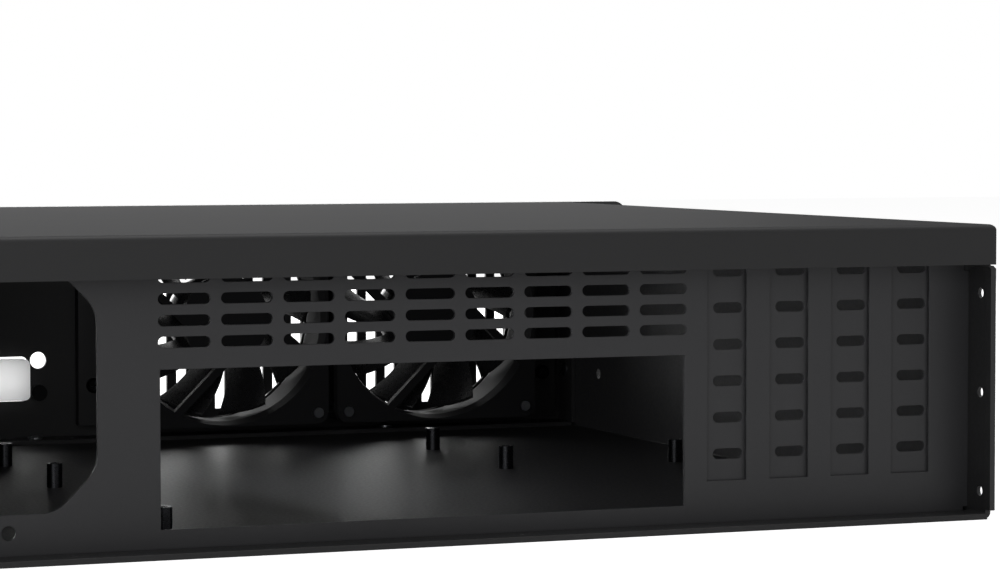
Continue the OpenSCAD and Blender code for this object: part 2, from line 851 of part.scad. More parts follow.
module fan_frame(k) {
    bore_r = fan_bore_d / 2;
    flare_r = (bore_r + fan_w / 2) / 2 + hub_wall / 5;
    color("#161617")
        at_fan(k)
            difference() {
                union() {
                    difference() {
                        union() {
                            for (z = [0, fan_t - fan_flange_t])
                                translate([0, 0, z])
                                    linear_extrude(fan_flange_t)
                                        round_rect(fan_w, fan_w, fan_flange_t);
                            cylinder(d = fan_w - hub_wall / 2, h = fan_t);
                        }
                        translate([0, 0, -over])
                            cylinder(r = bore_r, h = fan_t + 2 * over);
                        cylinder(r1 = flare_r, r2 = bore_r, h = fan_flange_t);
                        translate([0, 0, fan_t - fan_flange_t])
                            cylinder(r1 = bore_r, r2 = flare_r, h = fan_flange_t);
                        for (sx = [-1, 1], sy = [-1, 1])
                            translate([sx * fan_hole_pitch / 2, sy * fan_hole_pitch / 2, -over])
                                cylinder(r = big_hole_r + hole_gap, h = fan_t + 2 * over);
                    }
                    translate([0, 0, fan_t - strut_t])
                        cylinder(d = hub_d, h = strut_t);
                    translate([0, 0, fan_t * 0.32])
                        cylinder(r = tube_r, h = fan_t * 0.6);
                    for (a = [45:90:315])
                        rotate([0, 0, a])
                            translate([tube_r, hub_d * 0.3, fan_t - strut_t])
                                cube([bore_r - tube_r, strut_t, strut_t]);
                }
                translate([0, 0, fan_t * 0.3])
                    cylinder(r = bearing_r, h = fan_t * 0.56);
            }
}

module fan_bearing(k) {
    color("#b08d57")
        at_fan(k)
            translate([0, 0, fan_t * 0.34])
                difference() {
                    cylinder(r = bearing_r - hole_gap / 2, h = fan_t * 0.48);
                    translate([0, 0, -over])
                        cylinder(d = shaft_d + 2 * hole_gap, h = fan_t);
                }
}

module fan_shaft(k) {
    color("#c9ccd0")
        at_fan(k)
            translate([0, 0, hub_front_z + hub_wall])
                cylinder(d = shaft_d, h = fan_t * 0.85 - hub_front_z - hub_wall);
}

module fan_stator(k) {
    z0 = fan_t * 0.42;
    h = fan_t * 0.28;
    color("#9a5b35")
        at_fan(k)
            difference() {
                intersection() {
                    union() {
                        translate([0, 0, z0])
                            cylinder(r = tube_r + hub_wall, h = h);
                        for (a = [0:90:270])
                            rotate([0, 0, a]) {
                                translate([0, -tube_r / 3, z0])
                                    cube([stator_r, tube_r * 2 / 3, h]);
                                translate([tube_r + hub_wall, -tube_r / 1.6, z0 - h / 6])
                                    cube([(stator_r - tube_r) / 2, tube_r * 1.25, h * 4 / 3]);
                                translate([stator_r * 0.86, -tube_r * 1.3, z0])
                                    cube([stator_r * 0.2, tube_r * 2.6, h]);
                            }
                    }
                    cylinder(r = stator_r, h = fan_t);
                }
                cylinder(r = tube_r + hole_gap / 2, h = fan_t);
            }
}

module fan_magnet(k) {
    color("#3b3b3d")
        at_fan(k)
            translate([0, 0, fan_t * 0.2])
                difference() {
                    cylinder(r = hub_d / 2 - hub_wall, h = fan_t * 0.6);
                    translate([0, 0, -over])
                        cylinder(r = hub_d / 2 - hub_wall - magnet_t, h = fan_t);
                }
}

// A blade runs from the hub to its tip by u and from its leading edge to its trailing edge by v
blade_steps_u = 5;
blade_steps_v = 5;
blade_t = fan_t * 0.05;

function blade_point(u, v, side) =
    let (
        r = hub_d / 2 - blade_t + u * (rotor_d / 2 - hub_d / 2 + blade_t),
        span = 360 / blade_count * (0.62 - 0.04 * u),
        a = blade_start - blade_sweep * u + v * span,
        z = fan_t * (0.16 + 0.56 * (v + 0.12 * sin(180 * v)) - 0.04 * u) + side * blade_t / 2
    )
    [r * cos(a), r * sin(a), z];

module blade() {
    nu = blade_steps_u;
    nv = blade_steps_v;
    n = (nu + 1) * (nv + 1);
    points = [
        for (side = [-1, 1], i = [0:nu], j = [0:nv])
            blade_point(i / nu, j / nv, side)
    ];
    skin = [
        for (i = [0:nu - 1], j = [0:nv - 1])
            let (a = i * (nv + 1) + j, b = a + nv + 1)
            each [
                [a, a + 1, b + 1], [a, b + 1, b],
                [n + a, n + b + 1, n + a + 1], [n + a, n + b, n + b + 1]
            ]
    ];
    ends = [
        for (i = [0:nu - 1])
            let (a = i * (nv + 1), b = a + nv + 1, c = a + nv, d = b + nv)
            each [
                [a, b, n + b], [a, n + b, n + a],
                [c, n + d, d], [c, n + c, n + d]
            ]
    ];
    sides = [
        for (j = [0:nv - 1])
            let (a = j, b = nu * (nv + 1) + j)
            each [
                [a, n + a + 1, a + 1], [a, n + a, n + a + 1],
                [b, b + 1, n + b + 1], [b, n + b + 1, n + b]
            ]
    ];
    polyhedron(points, [for (f = concat(skin, ends, sides)) [f[0], f[2], f[1]]]);
}

module fan_rotor(k) {
    color("#19191a")
        at_fan(k)
            difference() {
                union() {
                    difference() {
                        translate([0, 0, hub_front_z])
                            cylinder(d = hub_d, h = hub_back_z - hub_front_z);
                        translate([0, 0, hub_front_z + 2 * hub_wall])
                            cylinder(r = hub_d / 2 - hub_wall, h = fan_t);
                    }
                    translate([0, 0, hub_front_z + hub_wall])
                        cylinder(r = tube_r * 0.7, h = fan_t * 0.18);
                    for (i = [0:blade_count - 1])
                        rotate([0, 0, i * 360 / blade_count])
                            blade();
                }
                translate([0, 0, hub_front_z + hub_wall])
                    cylinder(d = shaft_d + hole_gap, h = fan_t);
                translate([0, 0, hub_front_z + 2 * hub_wall])
                    difference() {
                        cylinder(r = hub_d / 2 - hub_wall, h = fan_t);
                        cylinder(r = tube_r * 0.7, h = fan_t);
                    }
            }
}

module fan_screws() {
    color("#b9bcc0")
        for (x = fan_places, sx = [-1, 1], sz = [-1, 1])
            translate([x + sx * fan_hole_pitch / 2, bracket_y - sheet_t, fan_z + sz * fan_hole_pitch / 2])
                rotate([90, 0, 0])
                    screw(big_screw_d, fan_t + 2 * sheet_t, head_d, head_h);
}

// Card slots

module slot_cover(k) {
    vents = [0:cover_vents - 1];
    shift = cover_w / 23;
    color("#2e2e30")
        translate([slot_x0 - k * slot_pitch, 0, 0])
            difference() {
                union() {
                    translate([-cover_w / 2, panel_in_y - cover_t, slot_z - 4 * cover_t])
                        cube([cover_w, cover_t, shelf_z - slot_z + 5 * cover_t]);
                    translate([-cover_w / 4, panel_in_y - cover_t, tongue_z])
                        cube([cover_w / 2, cover_t, slot_z - tongue_z]);
                    translate([-cover_w / 2, panel_in_y - cover_t, shelf_z])
                        cube([cover_w, cover_tab + cover_t, cover_t]);
                }
                for (i = vents)
                    translate([0, 0, slot_z + cover_vent_lift + i * cover_vent_pitch])
                        upright(panel_in_y - 2 * cover_t, 4 * cover_t)
                            translate([-shift, 0])
                                obround(cover_vent_l, vent_h);
                translate([0, tab_screw_y, shelf_z - over])
                    cylinder(r = hole_r, h = 4 * cover_t);
            }
}

module slot_cover_screws() {
    color("#b9bcc0")
        for (k = [0:slot_count - 1])
            translate([slot_x0 - k * slot_pitch, tab_screw_y, shelf_z + cover_t])
                screw(screw_d, 4 * sheet_t, head_d, head_h);
}

module board_posts() {
    color("#6a6c70")
        for (p = post_places)
            translate([post_x0 + p[0], panel_y - post_y - p[1], sheet_t])
                difference() {
                    cylinder(d = post_d, h = post_h);
                    translate([0, 0, post_h / 5])
                        cylinder(d = post_bore_d, h = post_h);
                }
}

// Power button and status light

foot_screw_places = [
    for (s = [-1, 1])
        [web_x + sheet_t + foot_w / 2, button_mid_z + s * leg_h / 4]
];

module at_button() {
    translate([button_mid_x, front_in_y, button_mid_z])
        rotate([-90, 0, 0])
            children();
}

module power_button() {
    color("#d6d7d8")
        at_button() {
            translate([0, 0, -front_t - button_out])
                linear_extrude(front_t + button_out + button_back)
                    round_rect(button_w, button_h, button_r);
            cylinder(d = stem_d, h = stem_end);
        }
}

module button_clip() {
    color("#8d9094")
        at_button()
            translate([0, 0, clip_at])
                difference() {
                    cylinder(d = stem_d + 2 * sheet_t, h = clip_t);
                    translate([0, 0, -over])
                        cylinder(d = stem_d, h = clip_t + 2 * over);
                }
}

module switch_bracket() {
    color("#8d9094")
        difference() {
            translate([0, front_in_y, button_mid_z - leg_h / 2]) {
                translate([web_x, 0, 0])
                    cube([sheet_t, leg_2 + sheet_t, leg_h]);
                translate([web_x, 0, 0])
                    cube([sheet_t + foot_w, sheet_t, leg_h]);
                for (y = [leg_1, leg_2])
                    translate([leg_end_x, y, 0])
                        cube([web_x - leg_end_x + sheet_t / 2, sheet_t, leg_h]);
            }
            bore_y(button_mid_x, front_in_y + leg_1 - over, button_mid_z, stem_d / 2 + hole_gap,
                sheet_t + 2 * over);
            for (p = foot_screw_places)
                bore_y(p[0], front_in_y - over, p[1], hole_r, 4 * sheet_t);
        }
}

module switch_bracket_screws() {
    color("#b9bcc0")
        for (p = foot_screw_places)
            translate([p[0], front_in_y + sheet_t, p[1]])
                rotate([-90, 0, 0])
                    screw(screw_d, sheet_t + front_t * 0.8, head_d, head_h);
}

module power_switch() {
    side = 1.3 * stem_d;
    color("#202022")
        at_button()
            translate([0, 0, switch_at])
                difference() {
                    translate([-side / 2, -side / 2, 0])
                        cube([side, side, switch_l]);
                    translate([0, 0, -over])
                        cylinder(d = stem_d * 0.7 + 2 * hole_gap, h = switch_l - sheet_t / 2 + over);
                }
}

module switch_plunger() {
    color("#e8e8e8")
        at_button()
            translate([0, 0, stem_end])
                cylinder(d = stem_d * 0.7, h = switch_at + switch_l / 4 - stem_end);
}

module light_holder() {
    color("#101011")
        bore_ring(button_x - light_gap, light_z);
}

module bore_ring(x, z) {
    translate([x, front_in_y + light_d / 3, z])
        rotate([90, 0, 0])
            difference() {
                union() {
                    cylinder(d = light_d, h = light_d / 3 + front_t + sheet_t / 4);
                    translate([0, 0, light_d / 3 + front_t])
                        cylinder(d = light_d * 1.3, h = sheet_t / 2);
                }
                translate([0, 0, light_d / 6])
                    cylinder(d = light_d / 2 + 2 * hole_gap, h = light_d * 2);
            }
}

module status_light() {
    color("#cfe3d0")
        translate([button_x - light_gap, front_in_y + light_d / 6, light_z])
            rotate([90, 0, 0]) {
                cylinder(d = light_d / 2, h = light_d / 6 + front_t + sheet_t / 2);
                translate([0, 0, light_d / 6 + front_t + sheet_t / 2])
                    sphere(d = light_d / 2);
            }
}

// Drive cage

cage_foot_places = [
    for (s = [-1, 1], t = [0.15, 0.85])
        [cage_x + s * (cage_half + cage_t + cage_foot / 2), cage_y + cage_l * t]
];

module drive_cage() {
    color("#28282a")
        difference() {
            union() {
                translate([cage_x - cage_half - cage_t - cage_foot, cage_y, sheet_t])
                    cube([2 * (cage_half + cage_t + cage_foot), cage_l, cage_t]);
                for (s = [-1, 1]) {
                    translate([cage_x + s * (cage_half + cage_t / 2), cage_y + cage_l / 2, sheet_t + cage_h / 2])
                        cube([cage_t, cage_l, cage_h], center = true);
                    translate([cage_x + s * (cage_half + cage_t / 2 + cage_foot / 4), cage_y + cage_l / 2,
                        sheet_t + cage_h - cage_t / 2])
                        cube([cage_foot / 2 + cage_t, cage_l, cage_t], center = true);
                }
            }
            for (y = cage_hole_ys, k = [0, 1])
                bore_x(cage_x - cage_half - 2 * cage_t, y, drive_hole_z + k * drive_pitch,
                    big_hole_r, 2 * cage_half + 4 * cage_t);
            for (p = cage_foot_places)
                translate([p[0], p[1], 0])
                    cylinder(r = hole_r, h = 4 * sheet_t);
            for (t = [0.3, 0.7])
                translate([cage_x, cage_y + cage_l * t, 0])
                    cylinder(d = drive_w * 0.4, h = 4 * sheet_t);
        }
}

module drive_cage_screws() {
    color("#b9bcc0")
        for (p = cage_foot_places)
            translate([p[0], p[1], sheet_t + cage_t])
                screw(screw_d, cage_t + sheet_t * 0.75, head_d, head_h);
}

// Handles

module bend() {
    rotate([90, 0, 90])
        rotate([0, 0, 90])
            rotate_extrude(angle = 90)
                translate([handle_bend_r, 0])
                    circle(d = handle_bar_d);
}

module handle(s) {
    post_l = handle_reach - handle_bend_r;
    color("#1a1a1b")
        translate([s * (half_w + handle_out), front_y, mid_z])
            difference() {
                union() {
                    for (m = [0, 1])
                        mirror([0, 0, m]) {
                            translate([0, 0, handle_span / 2])
                                rotate([90, 0, 0])
                                    cylinder(d = handle_bar_d, h = post_l);
                            translate([0, -post_l, handle_span / 2 - handle_bend_r])
                                bend();
                        }
                    translate([0, -handle_reach, handle_bend_r - handle_span / 2])
                        cylinder(d = handle_bar_d, h = handle_span - 2 * handle_bend_r);
                }
                for (m = [0, 1])
                    mirror([0, 0, m])
                        translate([0, over, handle_span / 2])
                            rotate([90, 0, 0])
                                cylinder(r = big_hole_r, h = post_l / 2 + over);
            }
}

module handle_screws() {
    color("#3a3a3c")
        for (s = [-1, 1], t = [-1, 1])
            translate([s * (half_w + handle_out), front_in_y, mid_z + t * handle_span / 2])
                rotate([-90, 0, 0])
                    screw(big_screw_d, front_t + (handle_reach - handle_bend_r) * 0.4, big_head_d, head_h);
}

base_tray();
rear_panel();
rear_rivets();
lid();
lid_screws();
lid_nuts();
front_panel();
front_rivets();
fan_bracket();
bracket_screws();
fan_frame(0);  // fan_frame_left
fan_frame(1);  // fan_frame_right
fan_rotor(0);  // fan_rotor_left
fan_rotor(1);  // fan_rotor_right
fan_shaft(0);  // fan_shaft_left
fan_shaft(1);  // fan_shaft_right
fan_bearing(0);  // fan_bearing_left
fan_bearing(1);  // fan_bearing_right
fan_stator(0);  // fan_stator_left
fan_stator(1);  // fan_stator_right
fan_magnet(0);  // fan_magnet_left
fan_magnet(1);  // fan_magnet_right
fan_screws();
slot_cover(0);  // slot_cover_1
slot_cover(1);  // slot_cover_2
slot_cover(2);  // slot_cover_3
slot_cover(3);  // slot_cover_4
slot_cover_screws();
board_posts();
power_button();
button_clip();
switch_bracket();
switch_bracket_screws();
power_switch();
switch_plunger();
status_light();
light_holder();
drive_cage();
drive_cage_screws();
handle(1);  // handle_left
handle(-1);  // handle_right
handle_screws();
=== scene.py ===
import json
import math

import bpy
import numpy as np
from mathutils import Matrix, Vector


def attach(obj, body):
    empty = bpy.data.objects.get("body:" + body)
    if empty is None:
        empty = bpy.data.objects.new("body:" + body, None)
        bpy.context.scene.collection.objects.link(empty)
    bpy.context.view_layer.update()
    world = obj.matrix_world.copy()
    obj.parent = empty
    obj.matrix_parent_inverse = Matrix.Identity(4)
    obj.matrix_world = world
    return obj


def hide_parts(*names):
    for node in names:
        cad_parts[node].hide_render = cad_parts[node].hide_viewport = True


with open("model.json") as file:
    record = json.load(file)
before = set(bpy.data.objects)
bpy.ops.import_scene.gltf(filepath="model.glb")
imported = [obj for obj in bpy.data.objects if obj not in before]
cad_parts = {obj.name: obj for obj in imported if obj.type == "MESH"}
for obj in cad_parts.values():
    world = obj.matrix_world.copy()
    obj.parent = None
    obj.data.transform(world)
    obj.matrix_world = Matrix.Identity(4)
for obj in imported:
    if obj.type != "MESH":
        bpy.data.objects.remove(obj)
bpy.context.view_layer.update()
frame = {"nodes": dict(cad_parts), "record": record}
nodes = frame["nodes"]
print("frame loaded:", len(nodes), "nodes")

mm = 0.001
white = (1.0, 1.0, 1.0, 1.0)

# Where a Mix node that is set to colours keeps its sockets
mixFactor, mixDark, mixLight, mixResult = 0, 6, 7, 2


def linearColour(code):  # sRGB hex to linear, by the standard curve
    values = [int(code[i:i + 2], 16) / 255 for i in (1, 3, 5)]
    return [v / 12.92 if v <= 0.04045 else ((v + 0.055) / 1.055) ** 2.4 for v in values] + [1.0]


def addNode(tree, kind, inputs=None, **settings):  # one node with its settings and its links
    node = tree.nodes.new(kind)
    for key, value in settings.items():
        setattr(node, key, value)
    for key, value in (inputs or {}).items():
        if isinstance(value, bpy.types.NodeSocket):
            tree.links.new(value, node.inputs[key])
        else:
            node.inputs[key].default_value = value
    return node


def newTree(name):  # a material with an empty node tree
    material = bpy.data.materials.new(name)
    material.use_nodes = True
    material.node_tree.nodes.clear()
    return material, material.node_tree


# The skin of powder coat on steel: cured polyester powder flows out to a fine orange peel,
# and the film is a little lighter where it lies thin. Sheet edges are rounded by the film.
def coatSkin(tree, look):
    place = addNode(tree, "ShaderNodeTexCoord").outputs["Object"]
    peel = addNode(tree, "ShaderNodeTexNoise", {
        "Vector": place, "Scale": 1 / (look["peel"] * mm), "Detail": 3.0, "Roughness": 0.6})
    film = addNode(tree, "ShaderNodeTexNoise", {
        "Vector": place, "Scale": 1 / (look["film"] * mm), "Detail": 2.0})
    tone = addNode(tree, "ShaderNodeMix", {
        mixFactor: film.outputs["Fac"], mixDark: linearColour(look["dark"]),
        mixLight: linearColour(look["light"])}, data_type="RGBA")
    edge = addNode(tree, "ShaderNodeBevel", {"Radius": look["edge"] * mm}, samples=4)
    bump = addNode(tree, "ShaderNodeBump", {
        "Height": peel.outputs["Fac"], "Strength": look["bump"], "Distance": look["depth"] * mm,
        "Normal": edge.outputs["Normal"]})
    return tone.outputs[mixResult], peel.outputs["Fac"], bump.outputs["Normal"]


# Satin powder coat: the peel breaks up the gloss of its smooth film.
def powderCoat(name, look):
    material, tree = newTree(name)
    tone, peel, normal = coatSkin(tree, look)
    sheen = addNode(tree, "ShaderNodeMapRange", {
        "Value": peel, "From Min": look["peelLow"], "From Max": look["peelHigh"],
        "To Min": look["rough"] - look["spread"], "To Max": look["rough"] + look["spread"]})
    shader = addNode(tree, "ShaderNodeBsdfPrincipled", {
        "Base Color": tone, "Roughness": sheen.outputs["Result"], "Normal": normal,
        "Specular IOR Level": look["specular"]})
    addNode(tree, "ShaderNodeOutputMaterial", {"Surface": shader.outputs[0]})
    return material


# Matt powder coat with its gloss cut to a small share: the lost gloss is painted shade. It darkens
# the lid's top at a flat angle, as a dimmer surround above it would.
def mattCoatPaintedShade(name, look):
    material, tree = newTree(name)
    tone, _, normal = coatSkin(tree, look)
    matt = addNode(tree, "ShaderNodeBsdfDiffuse", {"Color": tone, "Normal": normal})
    gloss = addNode(tree, "ShaderNodeBsdfAnisotropic", {
        "Color": white, "Roughness": look["rough"], "Normal": normal})
    # the small gloss share is painted shade: it keeps the surround's gloss off the top
    both = addNode(tree, "ShaderNodeMixShader", {
        0: look["gloss"], 1: matt.outputs[0], 2: gloss.outputs[0]})
    addNode(tree, "ShaderNodeOutputMaterial", {"Surface": both.outputs[0]})
    return material


# Bare or plated metal: the plate's grain and fine scratches from handling.
def platedMetal(name, look):
    material, tree = newTree(name)
    place = addNode(tree, "ShaderNodeTexCoord").outputs["Object"]
    grain = addNode(tree, "ShaderNodeTexNoise", {
        "Vector": place, "Scale": 1 / (look["grain"] * mm), "Detail": 4.0})
    stretched = addNode(tree, "ShaderNodeMapping", {
        "Vector": place, "Scale": (1.0, look["stretch"], look["stretch"])})
    scratch = addNode(tree, "ShaderNodeTexNoise", {
        "Vector": stretched.outputs["Vector"], "Scale": 1 / (look["scratch"] * mm), "Detail": 2.0})
    tone = addNode(tree, "ShaderNodeMix", {
        mixFactor: scratch.outputs["Fac"], mixDark: linearColour(look["dark"]),
        mixLight: linearColour(look["light"])}, data_type="RGBA")
    sheen = addNode(tree, "ShaderNodeMapRange", {
        "Value": grain.outputs["Fac"],
        "To Min": look["rough"] - look["spread"], "To Max": look["rough"] + look["spread"]})
    bump = addNode(tree, "ShaderNodeBump", {
        "Height": scratch.outputs["Fac"], "Strength": look["bump"],
        "Distance": look["depth"] * mm})
    shader = addNode(tree, "ShaderNodeBsdfPrincipled", {
        "Base Color": tone.outputs[mixResult], "Metallic": 1.0,
        "Roughness": sheen.outputs["Result"], "Normal": bump.outputs["Normal"]})
    addNode(tree, "ShaderNodeOutputMaterial", {"Surface": shader.outputs[0]})
    return material


# Moulded plastic: the spark-eroded grain of the tool shows as a fine even texture.
def mouldedPlastic(name, look):
    material, tree = newTree(name)
    place = addNode(tree, "ShaderNodeTexCoord").outputs["Object"]
    grain = addNode(tree, "ShaderNodeTexNoise", {
        "Vector": place, "Scale": 1 / (look["grain"] * mm), "Detail": 2.0})
    flow = addNode(tree, "ShaderNodeTexNoise", {
        "Vector": place, "Scale": 1 / (look["flow"] * mm), "Detail": 1.0})
    tone = addNode(tree, "ShaderNodeMix", {
        mixFactor: flow.outputs["Fac"], mixDark: linearColour(look["dark"]),
        mixLight: linearColour(look["light"])}, data_type="RGBA")
    sheen = addNode(tree, "ShaderNodeMapRange", {
        "Value": grain.outputs["Fac"],
        "To Min": look["rough"] - look["spread"], "To Max": look["rough"] + look["spread"]})
    bump = addNode(tree, "ShaderNodeBump", {
        "Height": grain.outputs["Fac"], "Strength": look["bump"],
        "Distance": look["depth"] * mm})
    shader = addNode(tree, "ShaderNodeBsdfPrincipled", {
        "Base Color": tone.outputs[mixResult], "Roughness": sheen.outputs["Result"],
        "Normal": bump.outputs["Normal"], "IOR": look["ior"]})
    addNode(tree, "ShaderNodeOutputMaterial", {"Surface": shader.outputs[0]})
    return material


# Frosted plastic: it scatters the light that falls on its front through to its back.
def frostedPlastic(name, look):
    material, tree = newTree(name)
    place = addNode(tree, "ShaderNodeTexCoord").outputs["Object"]
    grain = addNode(tree, "ShaderNodeTexNoise", {
        "Vector": place, "Scale": 1 / (look["grain"] * mm), "Detail": 2.0})
    bump = addNode(tree, "ShaderNodeBump", {
        "Height": grain.outputs["Fac"], "Strength": look["bump"],
        "Distance": look["depth"] * mm})
    skin = addNode(tree, "ShaderNodeBsdfPrincipled", {
        "Base Color": linearColour(look["colour"]), "Roughness": look["rough"],
        "Normal": bump.outputs["Normal"]})
    through = addNode(tree, "ShaderNodeBsdfTranslucent", {
        "Color": linearColour(look["through"])})
    both = addNode(tree, "ShaderNodeMixShader", {
        0: look["share"], 1: skin.outputs[0], 2: through.outputs[0]})
    addNode(tree, "ShaderNodeOutputMaterial", {"Surface": both.outputs[0]})
    return material


# Looks: sizes of grain, peel, film, flow, scratch, edge and depth are in millimetres
coatLook = {
    "dark": "#1d1d1e", "light": "#222223", "peel": 1.1, "film": 60.0, "rough": 0.46,
    "spread": 0.05, "peelLow": 0.3, "peelHigh": 0.7, "edge": 0.25, "bump": 0.25, "depth": 0.05,
    "specular": 0.5}
metalLook = {"stretch": 14.0, "spread": 0.08, "bump": 0.2, "depth": 0.02}
mouldLook = {"spread": 0.06, "depth": 0.03}

caseCoat = powderCoat("satinBlackPowderCoat", coatLook)
# the lid's coat with painted shade: a gloss share of 0.032 darkens its top at a flat angle
lidCoatPaintedShade = mattCoatPaintedShade("mattBlackCoatPaintedShade", {
    **coatLook, "dark": "#1d1d1e", "light": "#212122", "rough": 0.5, "gloss": 0.032})
panelCoat = powderCoat("satinCharcoalPowderCoat", {
    **coatLook, "dark": "#2a2a2c", "light": "#303032"})
zincPlate = platedMetal("brightZincPlate", {
    **metalLook, "dark": "#a9adb2", "light": "#c3c6ca", "grain": 0.4, "scratch": 0.5,
    "rough": 0.32})
blackOxide = platedMetal("blackOxideSteel", {
    **metalLook, "dark": "#1c1c1e", "light": "#2b2b2d", "grain": 0.3, "scratch": 0.5,
    "rough": 0.4})
groundSteel = platedMetal("groundSteel", {
    **metalLook, "dark": "#b3b5b8", "light": "#cfd1d3", "grain": 0.2, "scratch": 0.2,
    "rough": 0.25})
sinteredBronze = platedMetal("sinteredBronze", {
    **metalLook, "dark": "#8c6a3c", "light": "#a98550", "grain": 0.2, "scratch": 0.4,
    "rough": 0.45})
enamelledCopper = platedMetal("enamelledCopper", {
    **metalLook, "dark": "#7d3c1c", "light": "#a9572b", "grain": 0.3, "scratch": 0.3,
    "rough": 0.35})
blackNickel = platedMetal("blackNickelPlate", {
    **metalLook, "dark": "#3c3d40", "light": "#505155", "grain": 0.3, "scratch": 0.4,
    "rough": 0.28})
anodised = platedMetal("blackAnodisedAluminium", {
    **metalLook, "dark": "#151516", "light": "#1e1e20", "grain": 0.3, "scratch": 0.6,
    "rough": 0.38})
fanPlastic = mouldedPlastic("blackMouldedPolyester", {
    **mouldLook, "dark": "#121213", "light": "#171718", "grain": 0.35, "flow": 20.0,
    "rough": 0.7, "bump": 0.3, "ior": 1.25})
rotorPlastic = mouldedPlastic("blackGlossPolyester", {
    **mouldLook, "dark": "#0f0f10", "light": "#141415", "grain": 0.5, "flow": 15.0,
    "rough": 0.28, "bump": 0.15, "ior": 1.57})
ferrite = mouldedPlastic("bondedFerrite", {
    **mouldLook, "dark": "#2c2c2d", "light": "#383839", "grain": 0.3, "flow": 5.0,
    "rough": 0.6, "bump": 0.4, "ior": 1.6})
lightLens = mouldedPlastic("diffusedEpoxyLens", {
    **mouldLook, "dark": "#bcd8c0", "light": "#cae4cd", "grain": 0.2, "flow": 3.0,
    "rough": 0.2, "bump": 0.1, "ior": 1.51})
paleAbs = frostedPlastic("frostedPaleAbs", {
    "colour": "#dcdddf", "through": "#fafafa", "grain": 0.4, "rough": 0.38, "bump": 0.25,
    "depth": 0.03, "share": 0.85})
print("materials made")

finishes = {
    "case": caseCoat, "panel": panelCoat, "zinc": zincPlate, "black_screw": blackOxide,
    "fan_plastic": fanPlastic, "rotor_plastic": rotorPlastic, "steel": groundSteel,
    "bronze": sinteredBronze, "windings": enamelledCopper, "ferrite": ferrite,
    "post": blackNickel, "button_plastic": paleAbs, "light": lightLens, "handle": anodised,
}
for part in frame["record"]["subparts"]:
    for holder in nodes[part["node"]].material_slots:
        holder.material = finishes[part["material_slot"]]
# the lid takes the coat with painted shade
for holder in nodes["lid"].material_slots:
    holder.material = lidCoatPaintedShade
print("finishes assigned")


# Fan rotors: nine swept blades and a domed hub, a smooth skin for each. Sizes are in
# millimetres and angles in degrees, in the fan's own frame: its Z runs from the bracket to
# the rear and its Y points down. lead, rise, camber and droop are shares of the depth.
rotorLook = {
    "centres": {"left": -66.9, "right": -150.3}, "y": -145.8, "z": 46.8, "depth": 25.0,
    "hub": 16.5, "rim": 1.2, "wall": 1.49, "shaft": 1.6, "front": 1.25, "back": 20.75,
    "turns": 96, "bends": 7,
    "root": 15.6, "tip": 37.2, "blades": 9, "start": 32.0, "sweep": 17.0, "span": 0.62,
    "taper": 0.04, "rows": 20, "columns": 24, "thick": 0.62, "nose": 1.35, "thinning": 0.7,
    "lead": 0.16, "rise": 0.56, "camber": 0.12, "droop": 0.04}


def gridFaces(rows, columns, start=0):  # quads of a grid of points, rows by columns
    corner = start + np.arange((rows - 1) * columns).reshape(rows - 1, columns)
    corner = corner[:, :columns - 1].ravel()
    return np.stack([corner, corner + 1, corner + columns + 1, corner + columns], axis=1)


# A blade is a loop of points round its section at each radius: up one side and back along
# the other, with the points closer together at both edges by half a cosine.
def bladeSkin(look, turn):
    columns = look["columns"]
    along = np.concatenate([np.linspace(0, 1, columns), np.linspace(1, 0, columns)[1:-1]])
    along = 0.5 - 0.5 * np.cos(np.pi * along)[None, :]
    upper = np.concatenate([np.ones(columns), -np.ones(columns - 2)])[None, :]
    share = np.linspace(0, 1, look["rows"])[:, None]
    # the section is thickest near its nose and falls to nothing at both edges, like a thin wing
    oval = 2 * np.sqrt(np.clip(along * (1 - along), 0, 1))
    thick = look["thick"] * oval * (look["nose"] - look["thinning"] * along)
    radius = look["root"] + share * (look["tip"] - look["root"])
    span = 360 / look["blades"] * (look["span"] - look["taper"] * share)
    angle = np.radians(look["start"] + turn - look["sweep"] * share + along * span)
    # the height climbs along the section, with half a sine on top as its camber
    climb = along + look["camber"] * np.sin(np.pi * along)
    height = look["depth"] * (look["lead"] + look["rise"] * climb - look["droop"] * share)
    height = height + upper * thick / 2
    return np.stack([radius * np.cos(angle), radius * np.sin(angle), height], axis=2)


# The hub is a profile turned about the shaft: a cup that is open to the rear, its rim a
# quarter circle and its floor two walls thick.
def hubSkin(look):
    hub, rim, front, back = look["hub"], look["rim"], look["front"], look["back"]
    inside, cupFloor = hub - look["wall"], front + 2 * look["wall"]
    outer = [(hub - rim + rim * math.sin(bend), front + rim - rim * math.cos(bend))
             for bend in np.linspace(0, np.pi / 2, look["bends"])]
    inner = [(hub, back), (inside, back), (inside, cupFloor), (look["shaft"], cupFloor)]
    profile = np.array([(0.0, front)] + outer + inner)
    angle = np.linspace(0, 2 * np.pi, look["turns"] + 1)[:, None]
    radius, height = profile[:, 0][None, :], profile[:, 1][None, :]
    return np.stack([radius * np.cos(angle), radius * np.sin(angle), height + 0 * angle], axis=2)


def makeSurface(name, points, faces, finish):
    mesh = bpy.data.meshes.new(name)
    mesh.from_pydata(points.tolist(), [], faces.tolist())
    mesh.polygons.foreach_set("use_smooth", np.ones(len(faces), dtype=bool))
    mesh.materials.append(finish)
    piece = bpy.data.objects.new(name, mesh)
    bpy.context.scene.collection.objects.link(piece)
    return piece


